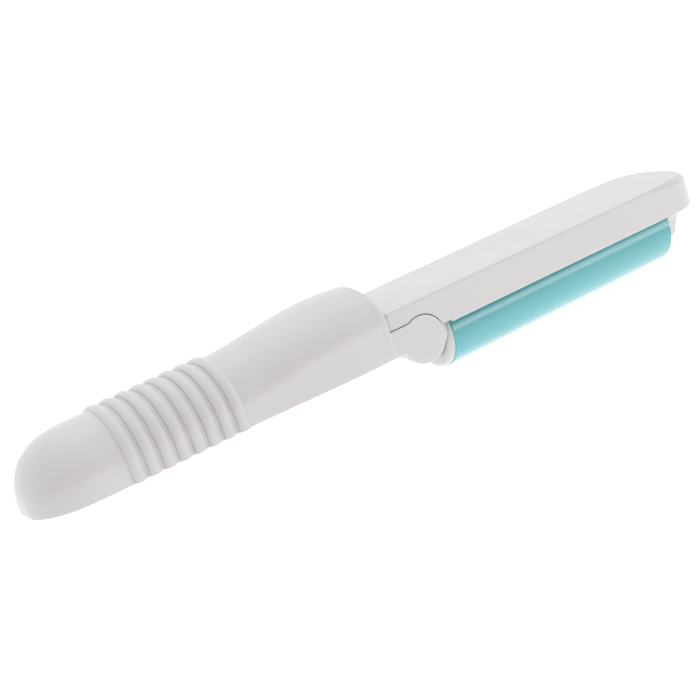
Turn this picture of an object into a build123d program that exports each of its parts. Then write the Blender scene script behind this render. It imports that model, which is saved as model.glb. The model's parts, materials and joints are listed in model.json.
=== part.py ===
from build123d import *
import math
import os

# Folding pocket lint roller, in millimetres.
# Everything is laid out from the fold pivot: X runs forward to the tip of the cover, Y to the left,
# Z up. place() then shifts each piece so that the origin is the centre of the open roller's
# footprint, at the height of the surface that the gel roller rests on.

# ---- driving dimensions -------------------------------------------------------------------------

WALL = 1.3                  # wall of the moulded shells
RUNNING_GAP = 0.06          # radial clearance of a running fit
SEAM = 0.22                 # clearance between parts that swing past each other

# handle
HANDLE_FRONT = -8.5         # front face of the collar
HANDLE_TAIL = -97.5
HANDLE_RIM = -0.7           # lower edge of the trough
GRIP_HALF_WIDTH = 12.7
GRIP_TOP = 14.2
HEAD_EXTRA_WIDTH = 1.9      # the front of the handle swells by this much at each side
HEAD_EXTRA_TOP = 2.5
SWELL_START = -50.0
SWELL_END = -18.0
SPRING_LINE = 3.0           # below this height the sides are straight, above it they are elliptical
SPRING_LINE_RISE = 4.0      # the straight sides are this much taller at the front: squarer shoulders
TAIL_START = -84.0
COLLAR_LENGTH = 2.4
COLLAR_INSET = 0.12         # step from the shell down to the collar
COLLAR_EDGE_RADIUS = 1.0

# cross ribs on the grip
RIB_COUNT = 8
RIB_FIRST_X = -49.4
RIB_PITCH = 3.7
RIB_HALF_LENGTH = 1.4
RIB_HEIGHT = 0.9

# fork arms and knuckle discs
ARM_INNER_Y = 10.7
ARM_OUTER_Y = 13.1
ARM_TONGUE_OUTER_Y = 12.6
ARM_TONGUE_REAR = -22.0
ARM_TOP = 5.0
ARM_BOTTOM = -1.3           # in front of the collar the arms are deeper than the handle's rim
NECK_RADIUS = 1.2           # where the arms' edges run into the discs
KNUCKLE_RADIUS = 5.8
BRIDGE_BOTTOM = 13.1
BRIDGE_TOP = 14.1
BRIDGE_HALF_WIDTH = 5.2
YOKE_SCREW_SEAT = 13.6
YOKE_SCREW_TIP = 15.5

# fold hinge
PIN_RADIUS = 1.5
PIN_HALF_LENGTH = 12.1
BARREL_RADIUS = 5.2
BARREL_HALF_LENGTH = 10.1
WASHER_THICKNESS = 0.4
FRICTION_WASHER_RADIUS = 3.6
WASHER_PLAY = 0.1

# cover
COVER_REAR = -8.2
COVER_TIP = 92.9
COVER_CORNER_X = 89.9       # where the side lines would meet the tip
COVER_HALF_WIDTH_REAR = 12.8
COVER_HALF_WIDTH_FRONT = 13.8
COVER_RIM = 0.9
COVER_TOP = 9.4
COVER_CORNER_RADIUS = 10.8
COVER_EDGE_RADIUS = 0.7     # top edge along the sides
COVER_REAR_EDGE_RADIUS = 1.3
COVER_RIM_RADIUS = 0.35
TIP_EDGE_RADIUS = 3.0       # top edge around the tip, fading out along the sides
TIP_FADE_REAR = 60.0
TIP_FADE_WIDTH = 1.0
TIP_FADE_RISE = 1.0
CEILING = COVER_TOP - WALL
CEILING_RADIUS = 0.8

# roller and its axle
ROLLER_Z = -2.7
ROLLER_RADIUS = 9.7
GEL_REAR = 9.8
GEL_FRONT = 82.0
CORE_RADIUS = 7.8
CORE_BORE = 6.5
END_DISC_REAR = 8.2
END_DISC_FRONT = 82.6
REAR_DISC_RADIUS = 9.5
REAR_DISC_ROUND = 1.4       # its outer edge is domed
HUB_LENGTH = 8.0
AXLE_RADIUS = 1.5
AXLE_REAR = 3.0
AXLE_FRONT = 86.2
BUSH_RADIUS = 3.0
BUSH_FLANGE_RADIUS = 4.0
REAR_BUSH_FLANGE = 0.5
FRONT_BUSH_FLANGE = 0.4
THRUST_WASHER_RADIUS = 3.4
REAR_THRUST_WASHER = 0.5
FRONT_THRUST_WASHER = 0.3

# bearing supports
REAR_WALL_FRONT = 7.9
REAR_WALL_THICKNESS = 3.3
WASHER_POCKET_DEPTH = 0.9   # the rear washer and bush flange are sunk into the wall
WASHER_POCKET_RADIUS = 4.3
BRACKET_REAR = 83.4
BRACKET_THICKNESS = 3.6
BRACKET_FOOT_FRONT = 90.8
BRACKET_BOSS_RADIUS = 1.5

# self-tapping screws
SCREW_SHANK = 0.9
SCREW_HEAD_RADIUS = 1.7
SCREW_HEAD_HEIGHT = 1.1
RECESS_HALF_LENGTH = 1.1
RECESS_HALF_WIDTH = 0.25

ORIGIN = Vector((HANDLE_TAIL + COVER_TIP) / 2, 0, ROLLER_Z - ROLLER_RADIUS)


# ---- helpers ------------------------------------------------------------------------------------

def block(x0, x1, y0, y1, z0, z1):
    """A box between two corners."""
    size = Box(x1 - x0, y1 - y0, z1 - z0)
    return Pos((x0 + x1) / 2, (y0 + y1) / 2, (z0 + z1) / 2) * size


def rod_x(x0, x1, radius, z=0.0):
    """A cylinder along X."""
    return Pos((x0 + x1) / 2, 0, z) * Rot(0, 90, 0) * Cylinder(radius, x1 - x0)


def rod_y(y0, y1, radius):
    """A cylinder along Y, about the fold axis."""
    return Pos(0, (y0 + y1) / 2, 0) * Rot(90, 0, 0) * Cylinder(radius, y1 - y0)


def rod_z(x, y, z0, z1, radius):
    """A cylinder along Z."""
    return Pos(x, y, (z0 + z1) / 2) * Cylinder(radius, z1 - z0)


def smooth_step(t):
    """0 to 1 with level ends."""
    t = min(max(t, 0.0), 1.0)
    return t * t * (3 - 2 * t)


def both_sides(piece):
    """A piece and its mirror image across the XZ plane."""
    return piece + mirror(piece, about=Plane.XZ)


# ---- handle shape -------------------------------------------------------------------------------

def swell(x):
    return smooth_step((x - SWELL_START) / (SWELL_END - SWELL_START))


def nose_drop(x):
    """The front of the handle rounds down a little towards its rim."""
    reach = max(x - SWELL_END, 0.0) / (HANDLE_FRONT - SWELL_END)
    return 0.7 * reach * reach


def handle_half_width(x):
    return GRIP_HALF_WIDTH + HEAD_EXTRA_WIDTH * swell(x) - 0.4 * nose_drop(x)


def handle_top(x):
    return GRIP_TOP + HEAD_EXTRA_TOP * swell(x) - nose_drop(x)


def spring_line(x):
    return SPRING_LINE + SPRING_LINE_RISE * swell(x)


def arch_outline(half_width, top, rim, spring):
    """Straight sides, half an ellipse over them, and a straight base."""
    sides = Line((half_width, rim), (half_width, spring))
    sides += EllipticalCenterArc((0, spring), half_width, top - spring, arc_size=180)
    sides += Line((-half_width, spring), (-half_width, rim))
    return sides


def arch_face(x, half_width, top, rim, spring):
    outline = arch_outline(half_width, top, rim, spring)
    outline += Line((-half_width, rim), (half_width, rim))
    return Plane.YZ.offset(x) * make_face(outline)


def handle_form(front, inset, rim):
    """The solid form of the handle, with its surface moved in by inset."""
    stations = [front, -14.0, SWELL_END, -24.0, -30.0, -36.0, -43.0, SWELL_START, -60.0, -72.0]
    faces = []
    for x in stations:
        width = handle_half_width(x) - inset
        faces.append(arch_face(x, width, handle_top(x) - inset, rim, spring_line(x)))
    tail_length = TAIL_START - HANDLE_TAIL - inset
    for angle in (0, 20, 38, 54, 68, 79):
        turn = math.radians(angle)
        x = TAIL_START - tail_length * math.sin(turn) / math.sin(math.radians(79))
        shrink = math.cos(turn)
        width = (GRIP_HALF_WIDTH - inset) * shrink ** 0.8
        top = (GRIP_TOP - inset) * shrink ** 0.8
        faces.append(arch_face(x, width, top, rim, SPRING_LINE * shrink))
    return loft(faces)


def grip_ribs():
    """Half-round bands across the grip, each bent over the arch of the handle."""
    ribs = []
    for number in range(RIB_COUNT):
        x = RIB_FIRST_X - RIB_PITCH * number
        arch = arch_outline(handle_half_width(x), handle_top(x), HANDLE_RIM, spring_line(x))
        path = Plane.YZ.offset(x) * arch
        start = Plane((x, handle_half_width(x), HANDLE_RIM), x_dir=(1, 0, 0), z_dir=(0, 0, 1))
        ribs.append(sweep(start * Ellipse(RIB_HALF_LENGTH, RIB_HEIGHT), path=path))
    return ribs


def shell_screw_places():
    return [(-16.5, -3.2), (-16.5, 3.2)]


def handle_shell():
    front = HANDLE_FRONT - COLLAR_LENGTH
    shell = handle_form(front, 0.0, HANDLE_RIM)
    for rib in grip_ribs():
        shell += rib
    shell -= handle_form(front + 1.0, WALL, HANDLE_RIM - 2.0)
    for x, y in shell_screw_places():
        boss = rod_z(x, y, BRIDGE_TOP, YOKE_SCREW_TIP + 0.1, 2.0)
        shell += boss
        shell -= rod_z(x, y, BRIDGE_TOP - 0.1, YOKE_SCREW_TIP, SCREW_SHANK)
    return shell


# ---- yoke ---------------------------------------------------------------------------------------

def arm_profile(grow):
    """The keyhole outline of an arm that ends in its knuckle disc, drawn larger by grow."""
    radius = KNUCKLE_RADIUS + grow
    top = ARM_TOP + grow
    low = ARM_BOTTOM - grow
    low_x = -math.sqrt(radius ** 2 - low ** 2)
    top_x = -math.sqrt(radius ** 2 - top ** 2)
    outline = Line((HANDLE_FRONT, low), (low_x, low))
    outline += ThreePointArc((low_x, low), (radius, 0), (top_x, top))
    outline += Line((top_x, top), (HANDLE_FRONT, top))
    outline += Line((HANDLE_FRONT, top), (HANDLE_FRONT, low))
    profile = make_face(outline)
    necks = [v for v in profile.vertices() if v.X > HANDLE_FRONT + 0.1]
    return Plane.XZ * fillet(necks, NECK_RADIUS - grow)


def yoke_arm():
    """The left arm: a flat bar that ends in the round knuckle disc, and its tongue in the shell."""
    arm = extrude(arm_profile(0), ARM_OUTER_Y - ARM_INNER_Y, dir=(0, 1, 0))
    arm = Pos(0, ARM_INNER_Y, 0) * arm
    outer = arm.faces().sort_by(Axis.Y)[-1].edges()
    arm = fillet([e for e in outer if e.center().X > HANDLE_FRONT + 0.1], 0.35)
    arm += block(ARM_TONGUE_REAR, HANDLE_FRONT - 0.5, ARM_INNER_Y, ARM_TONGUE_OUTER_Y,
                 HANDLE_RIM, ARM_TOP)
    return arm - rod_y(0, PIN_HALF_LENGTH, PIN_RADIUS)


def collar():
    """The rounded rim that closes the front of the handle and joins the two arms."""
    rear = HANDLE_FRONT - COLLAR_LENGTH
    width = handle_half_width(rear) - COLLAR_INSET
    top = handle_top(rear) - COLLAR_INSET
    arch = arch_face(rear, width, top, HANDLE_RIM, spring_line(rear))
    outer = extrude(arch, COLLAR_LENGTH, dir=(1, 0, 0))
    front_edges = [e for e in outer.edges() if abs(e.center().X - HANDLE_FRONT) < 0.01]
    front_edges = [e for e in front_edges if e.center().Z > HANDLE_RIM + 0.1]
    outer = fillet(front_edges, COLLAR_EDGE_RADIUS)
    mouth = arch_face(rear - 1, ARM_INNER_Y, BRIDGE_BOTTOM, HANDLE_RIM - 1, SPRING_LINE)
    return outer - extrude(mouth, COLLAR_LENGTH + 2, dir=(1, 0, 0))


def yoke():
    rear = HANDLE_FRONT - COLLAR_LENGTH
    bridge = block(-21.0, rear, -BRIDGE_HALF_WIDTH, BRIDGE_HALF_WIDTH, BRIDGE_BOTTOM, BRIDGE_TOP)
    piece = collar() + bridge + both_sides(yoke_arm())
    for x, y in shell_screw_places():
        piece -= rod_z(x, y, BRIDGE_BOTTOM - 0.1, BRIDGE_TOP + 0.1, SCREW_SHANK)
        piece -= rod_z(x, y, BRIDGE_BOTTOM - 0.1, YOKE_SCREW_SEAT, SCREW_HEAD_RADIUS)
    return piece


# ---- screws -------------------------------------------------------------------------------------

def screw(x, y, seat_z, tip_z, head_height=SCREW_HEAD_HEIGHT):
    """A screw driven upward: its head hangs below seat_z and has a cross recess."""
    shank = rod_z(x, y, seat_z, tip_z, SCREW_SHANK)
    head = rod_z(x, y, seat_z - head_height, seat_z, SCREW_HEAD_RADIUS)
    low = seat_z - head_height
    deep = low + head_height / 2
    long, narrow = RECESS_HALF_LENGTH, RECESS_HALF_WIDTH
    cross = block(x - long, x + long, y - narrow, y + narrow, low - 0.1, deep)
    cross += block(x - narrow, x + narrow, y - long, y + long, low - 0.1, deep)
    return shank + head - cross


def yoke_screws():
    head = YOKE_SCREW_SEAT - BRIDGE_BOTTOM
    return [screw(x, y, YOKE_SCREW_SEAT, YOKE_SCREW_TIP, head) for x, y in shell_screw_places()]


def block_screw_places():
    return [(3.3, -6.6), (3.3, 6.6)]


def hinge_block_screws():
    return [screw(x, y, -0.4, CEILING + 0.4) for x, y in block_screw_places()]


def bracket_screw_place():
    return (88.8, 0.0)


def bracket_screw():
    x, y = bracket_screw_place()
    return screw(x, y, 3.6, CEILING + 0.4)


# ---- cover --------------------------------------------------------------------------------------

def cover_half_width(x):
    slope = (COVER_HALF_WIDTH_FRONT - COVER_HALF_WIDTH_REAR) / (COVER_CORNER_X - COVER_REAR)
    return COVER_HALF_WIDTH_REAR + slope * (x - COVER_REAR)


def cover_plan(inset, rear, rear_half):
    """The cover from above: straight, slightly flaring sides and a rounded blunt tip."""
    front_half = COVER_HALF_WIDTH_FRONT - inset
    corner_x = COVER_CORNER_X - inset
    outline = Line((rear, -rear_half), (corner_x, -front_half))
    outline += ThreePointArc((corner_x, -front_half), (COVER_TIP - inset, 0), (corner_x, front_half))
    outline += Line((corner_x, front_half), (rear, rear_half))
    outline += Line((rear, rear_half), (rear, -rear_half))
    plan = make_face(outline)
    corners = [v for v in plan.vertices() if v.X > corner_x - 1]
    return fillet(corners, COVER_CORNER_RADIUS - inset)


def cover_form():
    """The solid form of the cover, with its top edge a little rounded all the way along."""
    plan = cover_plan(0, COVER_REAR, COVER_HALF_WIDTH_REAR)
    form = Pos(0, 0, COVER_RIM) * extrude(plan, COVER_TOP - COVER_RIM)
    across = [e for e in form.edges().filter_by(Axis.Y)
              if e.center().X < COVER_REAR + 0.1 and e.center().Z > COVER_TOP - 0.1]
    form = fillet(across, COVER_REAR_EDGE_RADIUS)
    top_edges = [e for e in form.faces().sort_by(Axis.Z)[-1].edges() if e.center().X > 0]
    form = fillet(top_edges, COVER_EDGE_RADIUS)
    low_edges = [e for e in form.faces().sort_by(Axis.Z)[0].edges() if e.center().X > 0]
    return fillet(low_edges, COVER_RIM_RADIUS)


def tip_form():
    """A form that spreads and rises away from the cover behind the tip, with a rounder top edge.

    What it and cover_form have in common is a cover whose top edge grows rounder at the tip.
    """
    outside = 0.02
    rear_half = cover_half_width(TIP_FADE_REAR) + TIP_FADE_WIDTH
    form = extrude(cover_plan(-outside, TIP_FADE_REAR, rear_half), COVER_TOP + 2 * TIP_FADE_RISE)
    high = COVER_TOP + outside
    above = make_face(Polyline((TIP_FADE_REAR - 1, high + TIP_FADE_RISE), (COVER_TIP + 1, high),
                               (COVER_TIP + 1, high + 5), (TIP_FADE_REAR - 1, high + 5),
                               (TIP_FADE_REAR - 1, high + TIP_FADE_RISE)))
    form -= Pos(0, 20, 0) * extrude(Plane.XZ * above, 40, dir=(0, -1, 0))
    top_edges = [e for e in form.edges()
                 if e.center().Z > COVER_TOP - 0.1 and e.center().X > TIP_FADE_REAR + 1]
    form = fillet(top_edges, TIP_EDGE_RADIUS)
    return form + block(COVER_REAR - 1, TIP_FADE_REAR + 1, -20, 20, 0, 20)


def cover():
    body = cover_form() & tip_form()
    hollow_rear = COVER_REAR + WALL
    hollow_plan = cover_plan(WALL, hollow_rear, cover_half_width(hollow_rear) - WALL)
    hollow = extrude(hollow_plan, CEILING - COVER_RIM + 1)
    hollow = fillet(hollow.faces().sort_by(Axis.Z)[-1].edges(), CEILING_RADIUS)
    body -= Pos(0, 0, COVER_RIM - 1) * hollow
    # the rear wall stops above the hinge barrel, and the side walls leave room for the fork, open
    # and folded
    body -= block(COVER_REAR - 1, COVER_REAR + WALL + 1, -11.5, 11.5, 0, KNUCKLE_RADIUS + SEAM)
    clearance = extrude(arm_profile(SEAM), 5, dir=(0, 1, 0))
    clearance += Rot(0, 180, 0) * clearance
    clearance += block(0, -HANDLE_FRONT + SEAM, 0, 5, 0, SEAM - ARM_BOTTOM)
    body -= both_sides(Pos(0, ARM_INNER_Y - SEAM, 0) * clearance)
    for x, y in block_screw_places():
        body += rod_z(x, y, 3.5, CEILING, 2.2)
        body -= rod_z(x, y, 3.4, CEILING + 0.4, SCREW_SHANK)
    x, y = bracket_screw_place()
    body += rod_z(x, y, 5.0, CEILING, BRACKET_BOSS_RADIUS)
    body -= rod_z(x, y, 4.9, CEILING + 0.4, SCREW_SHANK)
    return body


# ---- bearing supports in the head ---------------------------------------------------------------

def rear_wall_outline():
    """The rear wall from the front: wide under the ceiling, tapering to a blunt lower end."""
    half = [(4.0, -8.5), (6.6, -6.4), (10.4, -1.8), (10.4, 6.6), (9.6, CEILING)]
    points = half + [(-y, z) for y, z in reversed(half)]
    return make_face(Polyline(points + points[:1]))


def hinge_block():
    """The barrel on the fold pin, with the wall that holds the rear of the roller's axle."""
    wall_rear = REAR_WALL_FRONT - REAR_WALL_THICKNESS
    piece = rod_y(-BARREL_HALF_LENGTH, BARREL_HALF_LENGTH, BARREL_RADIUS)
    piece += block(-4.4, REAR_WALL_FRONT, -9.6, 9.6, 0, CEILING)
    wall = Plane.YZ.offset(wall_rear) * rear_wall_outline()
    piece += extrude(wall, REAR_WALL_THICKNESS, dir=(1, 0, 0))
    piece -= rod_y(-BARREL_HALF_LENGTH - 1, BARREL_HALF_LENGTH + 1, PIN_RADIUS + RUNNING_GAP)
    piece -= rod_x(AXLE_REAR, REAR_WALL_FRONT + 1, AXLE_RADIUS, ROLLER_Z)
    pocket = REAR_WALL_FRONT - WASHER_POCKET_DEPTH
    piece -= rod_x(pocket, REAR_WALL_FRONT + 1, WASHER_POCKET_RADIUS, ROLLER_Z)
    for x, y in block_screw_places():
        piece -= rod_z(x, y, 3.5, CEILING + 1, 2.2)
        piece -= rod_z(x, y, -0.4, 3.6, SCREW_SHANK)
        piece -= rod_z(x, y, -8, -0.4, SCREW_HEAD_RADIUS + 0.1)
    return piece


def bracket_outline():
    """The bracket from the front: wide shoulders under the ceiling, tapering to a rounded end."""
    half = [(4.4, -7.4), (7.0, -2.0), (10.6, 1.6), (10.6, 6.6), (9.1, CEILING)]
    points = half + [(-y, z) for y, z in reversed(half)]
    outline = make_face(Polyline(points + points[:1]))
    outline = fillet([v for v in outline.vertices() if v.Y < -7], 2.4)
    return fillet([v for v in outline.vertices() if abs(v.Y - 1.6) < 0.01], 0.8)


def front_bracket():
    """The tapering tongue under the tip that holds the front of the axle, with its screwed foot."""
    tongue = Plane.YZ.offset(BRACKET_REAR) * bracket_outline()
    piece = extrude(tongue, BRACKET_THICKNESS, dir=(1, 0, 0))
    foot = block(BRACKET_REAR, BRACKET_FOOT_FRONT, -4.5, 4.5, 3.6, CEILING)
    toe = [e for e in foot.edges().filter_by(Axis.Y)
           if e.center().X > BRACKET_FOOT_FRONT - 0.1 and e.center().Z > CEILING - 0.1]
    piece += fillet(toe, CEILING_RADIUS)
    piece -= rod_x(BRACKET_REAR - 1, AXLE_FRONT, AXLE_RADIUS, ROLLER_Z)
    x, y = bracket_screw_place()
    piece -= rod_z(x, y, 5.0, CEILING + 1, BRACKET_BOSS_RADIUS)
    piece -= rod_z(x, y, 3, 5.1, SCREW_SHANK)
    return piece


# ---- fold hinge ---------------------------------------------------------------------------------

def hinge_pin():
    return rod_y(-PIN_HALF_LENGTH, PIN_HALF_LENGTH, PIN_RADIUS)


def friction_washer(side):
    inner = BARREL_HALF_LENGTH + WASHER_PLAY
    near, far = sorted((side * inner, side * (inner + WASHER_THICKNESS)))
    return rod_y(near, far, FRICTION_WASHER_RADIUS) - rod_y(near - 1, far + 1, PIN_RADIUS)


# ---- roller -------------------------------------------------------------------------------------

def roller_core():
    tube = rod_x(GEL_REAR, GEL_FRONT, CORE_RADIUS, ROLLER_Z)
    return tube - rod_x(GEL_REAR - 1, GEL_FRONT + 1, CORE_BORE, ROLLER_Z)


def gel_sleeve():
    sleeve = rod_x(GEL_REAR, GEL_FRONT, ROLLER_RADIUS, ROLLER_Z)
    ends = [e for e in sleeve.edges() if e.geom_type == GeomType.CIRCLE]
    sleeve = fillet(ends, 0.5)
    return sleeve - rod_x(GEL_REAR - 1, GEL_FRONT + 1, CORE_RADIUS, ROLLER_Z)


def end_cap(disc_outside, disc_inside, hub_end, disc_radius, disc_round):
    """A disc outside the tube with a hub pressed into it, bored for the bush."""
    low, high = sorted((disc_outside, disc_inside))
    disc = rod_x(low, high, disc_radius, ROLLER_Z)
    rim = [e for e in disc.edges() if abs(e.center().X - disc_outside) < 0.01]
    disc = fillet(rim, disc_round)
    low, high = sorted((disc_inside, hub_end))
    cap = disc + rod_x(low, high, CORE_BORE, ROLLER_Z)
    return cap - rod_x(0, 100, BUSH_RADIUS, ROLLER_Z)


def rear_end_cap():
    hub_end = GEL_REAR + HUB_LENGTH
    return end_cap(END_DISC_REAR, GEL_REAR, hub_end, REAR_DISC_RADIUS, REAR_DISC_ROUND)


def front_end_cap():
    hub_end = GEL_FRONT - HUB_LENGTH
    return end_cap(END_DISC_FRONT, GEL_FRONT, hub_end, CORE_RADIUS - 0.2, 0.35)


def flanged_bush(outside, flange_inside, barrel_end):
    low, high = sorted((outside, flange_inside))
    bush = rod_x(low, high, BUSH_FLANGE_RADIUS, ROLLER_Z)
    low, high = sorted((flange_inside, barrel_end))
    bush += rod_x(low, high, BUSH_RADIUS, ROLLER_Z)
    return bush - rod_x(0, 100, AXLE_RADIUS + RUNNING_GAP, ROLLER_Z)


def rear_bush():
    outside = END_DISC_REAR - REAR_BUSH_FLANGE
    return flanged_bush(outside, END_DISC_REAR, END_DISC_REAR + HUB_LENGTH)


def front_bush():
    outside = END_DISC_FRONT + FRONT_BUSH_FLANGE
    return flanged_bush(outside, END_DISC_FRONT, END_DISC_FRONT - HUB_LENGTH)


def roller_axle():
    return rod_x(AXLE_REAR, AXLE_FRONT, AXLE_RADIUS, ROLLER_Z)


def thrust_washer(x0, thickness):
    x1 = x0 + thickness
    washer = rod_x(x0, x1, THRUST_WASHER_RADIUS, ROLLER_Z)
    return washer - rod_x(x0 - 1, x1 + 1, AXLE_RADIUS, ROLLER_Z)


# ---- all pieces ---------------------------------------------------------------------------------

PIECES = {
    "handle_shell": handle_shell(),
    "yoke": yoke(),
    "yoke_screws": yoke_screws(),
    "hinge_pin": hinge_pin(),
    "friction_washer_left": friction_washer(1),
    "friction_washer_right": friction_washer(-1),
    "cover": cover(),
    "hinge_block": hinge_block(),
    "hinge_block_screws": hinge_block_screws(),
    "front_bracket": front_bracket(),
    "bracket_screw": bracket_screw(),
    "roller_axle": roller_axle(),
    "thrust_washer_rear": thrust_washer(REAR_WALL_FRONT - WASHER_POCKET_DEPTH, REAR_THRUST_WASHER),
    "thrust_washer_front": thrust_washer(BRACKET_REAR - FRONT_THRUST_WASHER, FRONT_THRUST_WASHER),
    "roller_core": roller_core(),
    "gel_sleeve": gel_sleeve(),
    "rear_end_cap": rear_end_cap(),
    "front_end_cap": front_end_cap(),
    "rear_bush": rear_bush(),
    "front_bush": front_bush(),
}


def place(piece):
    """Shift a piece, or a group of pieces, from the pivot's frame to the part's origin."""
    shift = Pos(-ORIGIN.X, -ORIGIN.Y, -ORIGIN.Z)
    if isinstance(piece, list):
        return Compound(children=[shift * item for item in piece])
    return shift * piece


os.makedirs("parts", exist_ok=True)
for name, piece in PIECES.items():
    export_step(place(piece), f"parts/{name}.step")
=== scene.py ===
import json
import math

import bpy
from mathutils import Matrix, Vector

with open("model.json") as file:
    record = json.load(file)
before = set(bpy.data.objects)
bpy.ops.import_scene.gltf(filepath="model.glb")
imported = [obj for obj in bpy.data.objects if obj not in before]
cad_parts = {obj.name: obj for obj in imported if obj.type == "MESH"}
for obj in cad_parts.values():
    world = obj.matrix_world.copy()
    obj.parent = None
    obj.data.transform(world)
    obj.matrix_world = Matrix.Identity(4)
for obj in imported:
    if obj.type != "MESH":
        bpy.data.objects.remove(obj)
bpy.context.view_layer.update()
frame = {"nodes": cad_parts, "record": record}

# ---- places taken from the frame ----------------------------------------------------------------

JOINTS = {joint["name"]: joint for joint in frame["record"]["behaviour"]["joints"]}
PIVOT = Vector(JOINTS["fold"]["pos_m"])


# ---- material building --------------------------------------------------------------------------

MIX_RESULT = 2              # the colour output of a mix node


def colour_mix(nodes):
    mix = nodes.new("ShaderNodeMix")
    mix.data_type = "RGBA"
    return mix


def mix_socket(mix, name):
    """The colour input A or B of a mix node."""
    return [socket for socket in mix.inputs if socket.name == name and socket.type == "RGBA"][0]


class Material:
    """A principled material whose colour, roughness and bump come from object-space noise."""

    def __init__(self, name):
        self.material = bpy.data.materials.new(name)
        self.material.use_nodes = True
        self.tree = self.material.node_tree
        self.shader = self.tree.nodes["Principled BSDF"]
        self.place = self.add("ShaderNodeTexCoord").outputs["Object"]
        self.normal = None

    def add(self, kind, **settings):
        node = self.tree.nodes.new(kind)
        for key, value in settings.items():
            setattr(node, key, value)
        return node

    def set(self, **values):
        """Uniform values, directly on the shader's sockets."""
        for key, value in values.items():
            self.shader.inputs[key.replace("_", " ")].default_value = value

    def link(self, source, target):
        self.tree.links.new(source, target)

    def stretched(self, scale):
        mapping = self.add("ShaderNodeMapping")
        mapping.inputs["Scale"].default_value = scale
        self.link(self.place, mapping.inputs["Vector"])
        return mapping.outputs["Vector"]

    def noise(self, size, detail=3.0, rough=0.5, stretch=(1, 1, 1)):
        """Noise whose blobs are about size metres across."""
        node = self.add("ShaderNodeTexNoise")
        node.inputs["Scale"].default_value = 1.0 / size
        node.inputs["Detail"].default_value = detail
        node.inputs["Roughness"].default_value = rough
        self.link(self.stretched(stretch), node.inputs["Vector"])
        return node.outputs["Fac"]

    def ranged(self, source, low, high, start=0.3, end=0.7):
        node = self.add("ShaderNodeMapRange", interpolation_type="SMOOTHSTEP")
        node.inputs["From Min"].default_value = start
        node.inputs["From Max"].default_value = end
        node.inputs["To Min"].default_value = low
        node.inputs["To Max"].default_value = high
        self.link(source, node.inputs["Value"])
        return node.outputs["Result"]

    def mixed(self, factor, low, high):
        """A colour between two, each a colour or another socket."""
        node = colour_mix(self.tree.nodes)
        self.link(factor, node.inputs["Factor"])
        for name, value in (("A", low), ("B", high)):
            if isinstance(value, tuple):
                mix_socket(node, name).default_value = (*value, 1.0)
            else:
                self.link(value, mix_socket(node, name))
        return node.outputs[MIX_RESULT]

    def creases(self, reach):
        """1 in tight corners, 0 on open surfaces."""
        node = self.add("ShaderNodeAmbientOcclusion", samples=8)
        node.inputs["Distance"].default_value = reach
        return self.ranged(node.outputs["AO"], 1.0, 0.0, 0.35, 0.95)

    def edges(self, reach):
        """1 on sharp convex edges, 0 on flat surfaces."""
        bevel = self.add("ShaderNodeBevel", samples=6)
        bevel.inputs["Radius"].default_value = reach
        geometry = self.add("ShaderNodeNewGeometry")
        dot = self.add("ShaderNodeVectorMath", operation="DOT_PRODUCT")
        self.link(bevel.outputs["Normal"], dot.inputs[0])
        self.link(geometry.outputs["Normal"], dot.inputs[1])
        return self.ranged(dot.outputs["Value"], 1.0, 0.0, 0.60, 0.93)

    def product(self, first, second):
        node = self.add("ShaderNodeMath", operation="MULTIPLY")
        self.link(first, node.inputs[0])
        self.link(second, node.inputs[1])
        return node.outputs["Value"]

    def bump(self, height, depth):
        """Adds relief of depth metres to what is there already."""
        node = self.add("ShaderNodeBump")
        node.inputs["Strength"].default_value = 1.0
        node.inputs["Distance"].default_value = depth
        self.link(height, node.inputs["Height"])
        if self.normal is not None:
            self.link(self.normal, node.inputs["Normal"])
        self.normal = node.outputs["Normal"]
        self.link(self.normal, self.shader.inputs["Normal"])

    def colour(self, socket):
        self.link(socket, self.shader.inputs["Base Color"])

    def roughness(self, socket):
        self.link(socket, self.shader.inputs["Roughness"])


def shade(colour, factor):
    return tuple(channel * factor for channel in colour)


def moulded_plastic(name, colour, smooth, rough, grain=0.000005, crease_shade_strength=0.06):
    """Injection-moulded plastic: fine grain, slow sink marks, painted shade in the corners, and
    lighter sharp edges that are edge wear and a painted edge highlight.
    """
    made = Material(name)
    cloud = made.ranged(made.noise(0.03, 1.0), 0.0, 1.0, 0.2, 0.8)
    body = made.mixed(cloud, shade(colour, 0.99), shade(colour, 1.01))
    # Painted shade: a darker, brownish colour in tight corners, found by ambient occlusion and
    # broken up with noise.
    crease_shade_mask = made.product(made.creases(0.0016), made.ranged(made.noise(0.006), 0.4, 1.0))
    crease_shade_colour = (colour[0] * (1 - crease_shade_strength), colour[1] * (1 - 1.15 * crease_shade_strength), colour[2] * (1 - 1.4 * crease_shade_strength))
    body = made.mixed(crease_shade_mask, body, crease_shade_colour)
    # Lighter colour on sharp convex edges, in patches: edge wear and a painted edge highlight.
    edge_wear_and_highlight = made.product(made.edges(0.0004), made.ranged(made.noise(0.004), 0.2, 0.8, 0.1, 0.9))
    made.colour(made.mixed(edge_wear_and_highlight, body, shade(colour, 1.04)))
    made.roughness(made.ranged(made.noise(0.010, 2.0), smooth, rough, 0.2, 0.8))
    made.bump(made.noise(0.0005, 2.0), grain)
    made.bump(made.noise(0.02, 0.0), 0.00006)
    made.set(IOR=1.5, Subsurface_Weight=0.12, Subsurface_Scale=0.0015)
    made.shader.inputs["Subsurface Radius"].default_value = (1.0, 0.9, 0.8)
    return made.material


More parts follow.
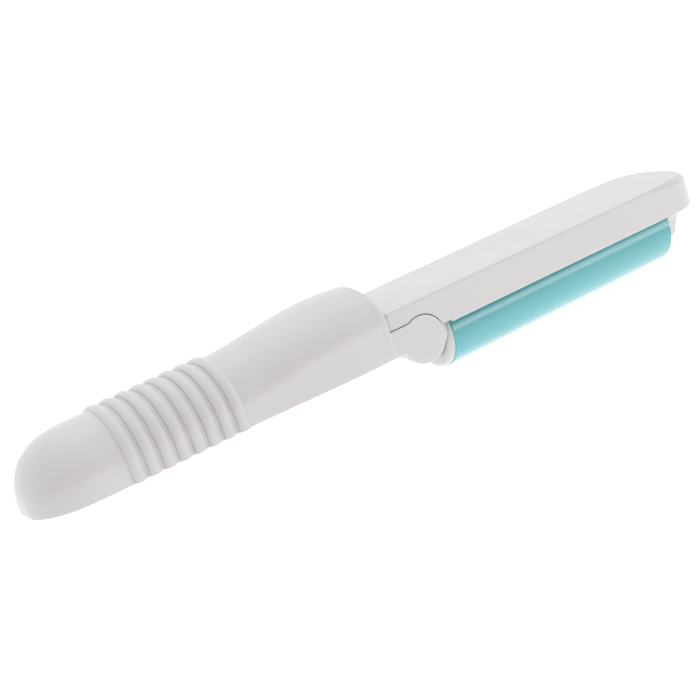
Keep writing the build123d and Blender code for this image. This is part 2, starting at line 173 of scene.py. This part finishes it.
def sticky_gel():
    """Washable tacky gel: glossy, slightly cloudy, a few dust specks held by the surface."""
    deep, clear = (0.074, 0.427, 0.46), (0.098, 0.475, 0.52)
    made = Material("teal_gel")
    cloud = made.ranged(made.noise(0.012, 2.0, stretch=(0.35, 1, 1)), 0.0, 1.0, 0.2, 0.8)
    body = made.mixed(cloud, deep, clear)
    dust = made.ranged(made.noise(0.0008, 1.0), 0.0, 0.15, 0.76, 0.82)
    made.colour(made.mixed(dust, body, (0.62, 0.78, 0.80)))
    made.roughness(made.ranged(made.noise(0.006, 2.0), 0.18, 0.25, 0.2, 0.8))
    made.bump(made.noise(0.005, 1.0), 0.00002)
    made.bump(made.noise(0.0008, 2.0), 0.000006)
    made.set(IOR=1.43, Subsurface_Weight=0.5, Subsurface_Scale=0.002, Coat_Weight=1.0,
             Coat_Roughness=0.10, Coat_IOR=1.65)
    made.shader.inputs["Subsurface Radius"].default_value = (0.35, 1.0, 1.0)
    return made.material


def turned_steel(name, colour, rough):
    """Drawn or ground steel, with fine scratches along the part."""
    made = Material(name)
    scratch = made.noise(0.0006, 4.0, 0.6, stretch=(0.05, 1, 1))
    made.colour(made.mixed(made.ranged(scratch, 0.0, 1.0), shade(colour, 0.85), colour))
    made.roughness(made.ranged(scratch, rough * 0.7, rough * 1.4))
    made.bump(scratch, 0.000004)
    made.set(Metallic=1.0)
    return made.material


WHITE = (0.668, 0.667, 0.666)
MATERIALS = {
    "white_plastic": moulded_plastic("white_plastic", WHITE, 0.29, 0.38),
    "inner_plastic": moulded_plastic("inner_plastic", shade(WHITE, 0.95), 0.40, 0.55, 0.00001),
    "bearing_plastic": moulded_plastic("bearing_plastic", (0.72, 0.70, 0.64), 0.31, 0.42),
    "polished_steel": turned_steel("polished_steel", (0.62, 0.62, 0.63), 0.22),
    "screw_steel": turned_steel("screw_steel", (0.50, 0.51, 0.53), 0.35),
    "teal_gel": sticky_gel(),
}

SLOTS = {part["node"]: part["material_slot"] for part in frame["record"]["subparts"]}
for name, node in frame["nodes"].items():
    for index in range(len(node.material_slots)):
        node.material_slots[index].material = MATERIALS[SLOTS[name]]


# ---- camera -------------------------------------------------------------------------------------

CAMERA_AZIMUTH = -26.5      # degrees, seen from the handle's end and the right-hand side
CAMERA_ELEVATION = 15.3
CAMERA_ROLL = 18.1          # the object is held with its tip up
CAMERA_DISTANCE = 0.338     # from the fold pivot, along the view
CAMERA_ASIDE = (-0.01094, -0.0036)
LENS = 72.4


def direction(azimuth, elevation):
    """The way from the object towards an eye at that azimuth and elevation."""
    a, e = math.radians(azimuth), math.radians(elevation)
    return Vector((math.sin(a) * math.cos(e), -math.cos(a) * math.cos(e), math.sin(e)))


def aim(back):
    """Level right and up directions for something that looks against back."""
    right = Vector((0, 0, 1)).cross(back).normalized()
    return right, back.cross(right)


def make_camera():
    back = direction(CAMERA_AZIMUTH, CAMERA_ELEVATION)
    level_right, level_up = aim(back)
    turn = math.radians(CAMERA_ROLL)
    right = level_right * math.cos(turn) - level_up * math.sin(turn)
    up = level_right * math.sin(turn) + level_up * math.cos(turn)
    camera = bpy.data.objects.new("camera", bpy.data.cameras.new("camera"))
    camera.data.lens = LENS
    camera.data.clip_start = 0.01
    camera.data.clip_end = 50.0
    place = PIVOT + back * CAMERA_DISTANCE + right * CAMERA_ASIDE[0] + up * CAMERA_ASIDE[1]
    axes = Matrix((right, up, back)).transposed().to_4x4()
    camera.matrix_world = Matrix.Translation(place) @ axes
    bpy.context.collection.objects.link(camera)
    bpy.context.scene.camera = camera


# ---- studio -------------------------------------------------------------------------------------

FLOOR_DROP = 0.5            # the object is shown held up, well above the floor
FLOOR_RADIUS = 9.0
FLOOR_GLOW = 0.3
TENT_WHITE = (1.06, 1.06, 1.06, 1)
TENT_DIM = (0.12, 0.05, 0.02, 1)
DIM_AZIMUTH = -15.0         # the tent lights least around this direction
DIM_ELEVATION = -25.0
DIM_START = 0.10            # cosines of the angles where the dimming starts and is complete
DIM_END = 0.75


def make_floor():
    bpy.ops.mesh.primitive_circle_add(vertices=96, radius=FLOOR_RADIUS, fill_type="NGON",
                                      location=(0, 0, -FLOOR_DROP))
    floor = bpy.context.object
    floor.name = "floor"
    paper = Material("floor_paper")
    pale = paper.ranged(paper.noise(0.4), 0.0, 1.0)
    paper.colour(paper.mixed(pale, (0.91, 0.91, 0.91), (0.94, 0.94, 0.94)))
    paper.set(Roughness=0.8, Emission_Strength=FLOOR_GLOW)
    paper.shader.inputs["Emission Color"].default_value = (1, 1, 1, 1)
    floor.data.materials.append(paper.material)


def make_world():
    """An even white tent that lights less, and warmer, from low in front of the object.

    The dim part is a light source only: the tent is plain white wherever a view shows it.
    """
    world = bpy.data.worlds.new("studio")
    bpy.context.scene.world = world
    world.use_nodes = True
    nodes, links = world.node_tree.nodes, world.node_tree.links
    dot = nodes.new("ShaderNodeVectorMath")
    dot.operation = "DOT_PRODUCT"
    dot.inputs[1].default_value = direction(DIM_AZIMUTH, DIM_ELEVATION)
    links.new(nodes.new("ShaderNodeTexCoord").outputs["Generated"], dot.inputs[0])
    front = nodes.new("ShaderNodeMapRange")
    front.interpolation_type = "SMOOTHSTEP"
    front.inputs["From Min"].default_value = DIM_START
    front.inputs["From Max"].default_value = DIM_END
    links.new(dot.outputs["Value"], front.inputs["Value"])
    light = colour_mix(nodes)
    links.new(front.outputs["Result"], light.inputs["Factor"])
    mix_socket(light, "A").default_value = TENT_WHITE
    mix_socket(light, "B").default_value = TENT_DIM
    shown = colour_mix(nodes)
    links.new(nodes.new("ShaderNodeLightPath").outputs["Is Camera Ray"], shown.inputs["Factor"])
    links.new(light.outputs[MIX_RESULT], mix_socket(shown, "A"))
    mix_socket(shown, "B").default_value = TENT_WHITE
    background = nodes["Background"]
    links.new(shown.outputs[MIX_RESULT], background.inputs["Color"])
    background.inputs["Strength"].default_value = 1.0


def make_softbox(name, azimuth, elevation, distance, size, radiance):
    """A white rectangle that faces the fold pivot, size wide and high."""
    light = bpy.data.lights.new(name, "AREA")
    light.shape = "RECTANGLE"
    light.size, light.size_y = size
    light.energy = math.pi * size[0] * size[1] * radiance
    lamp = bpy.data.objects.new(name, light)
    back = direction(azimuth, elevation)
    right, up = aim(back)
    axes = Matrix((right, up, back)).transposed().to_4x4()
    lamp.matrix_world = Matrix.Translation(PIVOT + back * distance) @ axes
    bpy.context.collection.objects.link(lamp)


make_camera()
make_floor()
make_world()
make_softbox("key", 150.0, 72.0, 0.9, (0.62, 0.62), 0.68)
make_softbox("front_strip", 28.0, -4.5, 0.9, (1.1, 0.22), 1.8)
bpy.context.scene.view_settings.view_transform = "Standard"
